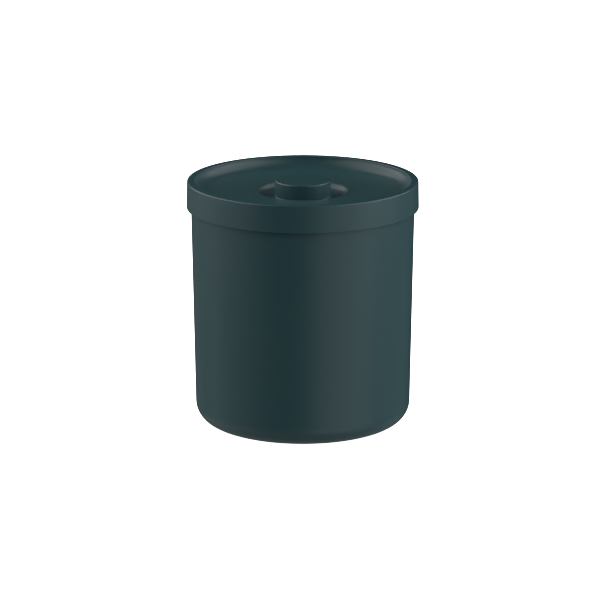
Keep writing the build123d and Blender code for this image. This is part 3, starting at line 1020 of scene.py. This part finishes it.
# %% Clamp of the tray
TRAY_NUT_FLATS = 8.0
for node in ("upper_washer", "lower_washer"):
    low, high, washer_radius = span(node)
    washer = turned(node.replace("_washer", "_disc"), section([
        (NECK + PRESS, low, 0.1),
        (washer_radius, low, 0.1),
        (washer_radius, high, 0.3),
        (NECK + PRESS, high, 0.2),
    ]), steps=BAR_STEPS)
    stands_for(washer, "lifter", tumbled_steel, "washer_steel", node)
nut_low, nut_high = span("tray_nut")[:2]
tray_nut_mesh = hex_nut(TRAY_NUT_FLATS, NECK + PRESS, nut_low, nut_high)
tray_nut = put_together("nut_of_tray", [tray_nut_mesh], sharp_above=25.0)
stands_for(tray_nut, "lifter", bright_nut, "tray_nut_steel", "tray_nut")

# %% [markdown]
# ## The table
# The jar stands on a lit white table, as in a packshot studio. The table glows by itself, so
# it stays white however dim the lights on the jar are. It is hidden from the light that the
# jar receives, and the panel called `box_under` takes over its share, so that the brightness
# of the backdrop and of the jar can be set apart.

# %% Table
def table_finish(name, colour, glow):
    finish, tree, shader = new_finish(name)
    place = add(tree, "TexCoord").outputs["Object"]
    grain = patches(tree, place, 3.0)
    clouds = patches(tree, place, 40.0)
    dress(tree, shader, grain, (colour, colour), 0.0, clouds, (0.85, 0.9))
    shader.inputs["Emission Color"].default_value = linear(colour)
    shader.inputs["Emission Strength"].default_value = glow
    return finish


TABLE_HALF = 12.0     # metres, so that the far edge is never seen
table_mesh = bmesh.new()
bmesh.ops.create_grid(table_mesh, x_segments=2, y_segments=2, size=TABLE_HALF)
table = put_together("table", [table_mesh])
table.data.materials.append(table_finish("lit_table", "#fbfbfb", 1.0))
table.visible_diffuse = False
table.visible_glossy = False
table.visible_shadow = False
print(f"table {2 * TABLE_HALF:.0f} m wide")

# %% [markdown]
# ## The lights
# A matt plastic cylinder shows its lights as upright stripes. Two tall soft boxes, one on
# each side, draw the soft stripes of the wall. Each is made of a bright upper panel, which
# also fills the dish of the lid, and a dimmer lower one. Low panels carry the stripes
# down into the rounded corner, and two faint ones stand behind the jar, so that
# its outline does not sink into darkness at the very edge, where plastic mirrors most. The
# world around is all but dark, so that the panels alone draw the form.

# %% Lights
world = bpy.data.worlds.new("studio")
bpy.context.scene.world = world
world.use_nodes = True
world.node_tree.nodes["Background"].inputs["Color"].default_value = (1, 1, 1, 1)
world.node_tree.nodes["Background"].inputs["Strength"].default_value = 0.001
bpy.context.scene.view_settings.view_transform = "Standard"
bpy.context.scene.cycles.filter_width = 1.0

LIGHT_DISTANCE = 1.5
jar_middle = Vector((0, 0, lid_top * MM / 2))


def soft_box(name, bearing, rise, width, height, brightness):
    """A panel that faces the jar. Bearing 0 is the camera's side, 90 its right."""
    bearing, rise = radians(bearing), radians(rise)
    toward = Vector((sin(bearing) * cos(rise), -cos(bearing) * cos(rise), sin(rise)))
    lamp = bpy.data.lights.new(name, "AREA")
    lamp.shape = "RECTANGLE"
    lamp.size = width
    lamp.size_y = height
    lamp.energy = brightness * pi * width * height
    box = bpy.data.objects.new(name, lamp)
    bpy.context.scene.collection.objects.link(box)
    box.location = jar_middle + toward * LIGHT_DISTANCE
    box.rotation_euler = toward.to_track_quat("Z", "Y").to_euler()
    box.visible_camera = False
    print(f"{name}: {lamp.energy:.1f} W")


soft_box("box_left", -87, 9, 2.85, 0.95, 0.80)
soft_box("box_left_high", -100, 37, 3.0, 1.6, 1.40)
soft_box("box_right", 81, 10, 1.15, 0.95, 1.25)
soft_box("box_right_high", 86, 37, 2.9, 1.6, 1.40)
soft_box("box_low_right", 43, -16, 1.75, 1.85, 0.57)
soft_box("box_low_left", -88, -33, 1.5, 1.0, 0.21)
soft_box("box_behind_left", -124, -17, 1.95, 0.95, 0.12)
soft_box("box_behind_right", 114, -13, 1.65, 1.35, 0.11)
soft_box("box_under", 0, -89, 5.0, 5.0, 0.23)

# %% [markdown]
# ## The camera
# It stands far back with a long lens, so the jar keeps nearly upright sides. It looks down on
# the lid by about fifteen degrees.

# %% Camera
CAMERA_RISE = radians(14.76)
CAMERA_DISTANCE = 2.362
camera_data = bpy.data.cameras.new("camera")
camera = bpy.data.objects.new("camera", camera_data)
bpy.context.scene.collection.objects.link(camera)
camera_data.sensor_width = 36
camera_data.lens = 210.55
camera_data.shift_x = -0.0046667
camera_data.clip_end = 100
camera.location = jar_middle + CAMERA_DISTANCE * Vector((0, -cos(CAMERA_RISE), sin(CAMERA_RISE)))
camera.rotation_euler = (jar_middle - camera.location).to_track_quat("-Z", "Y").to_euler()
bpy.context.scene.camera = camera

print(f"camera {CAMERA_DISTANCE} m away, {degrees(CAMERA_RISE):.1f} degrees up")
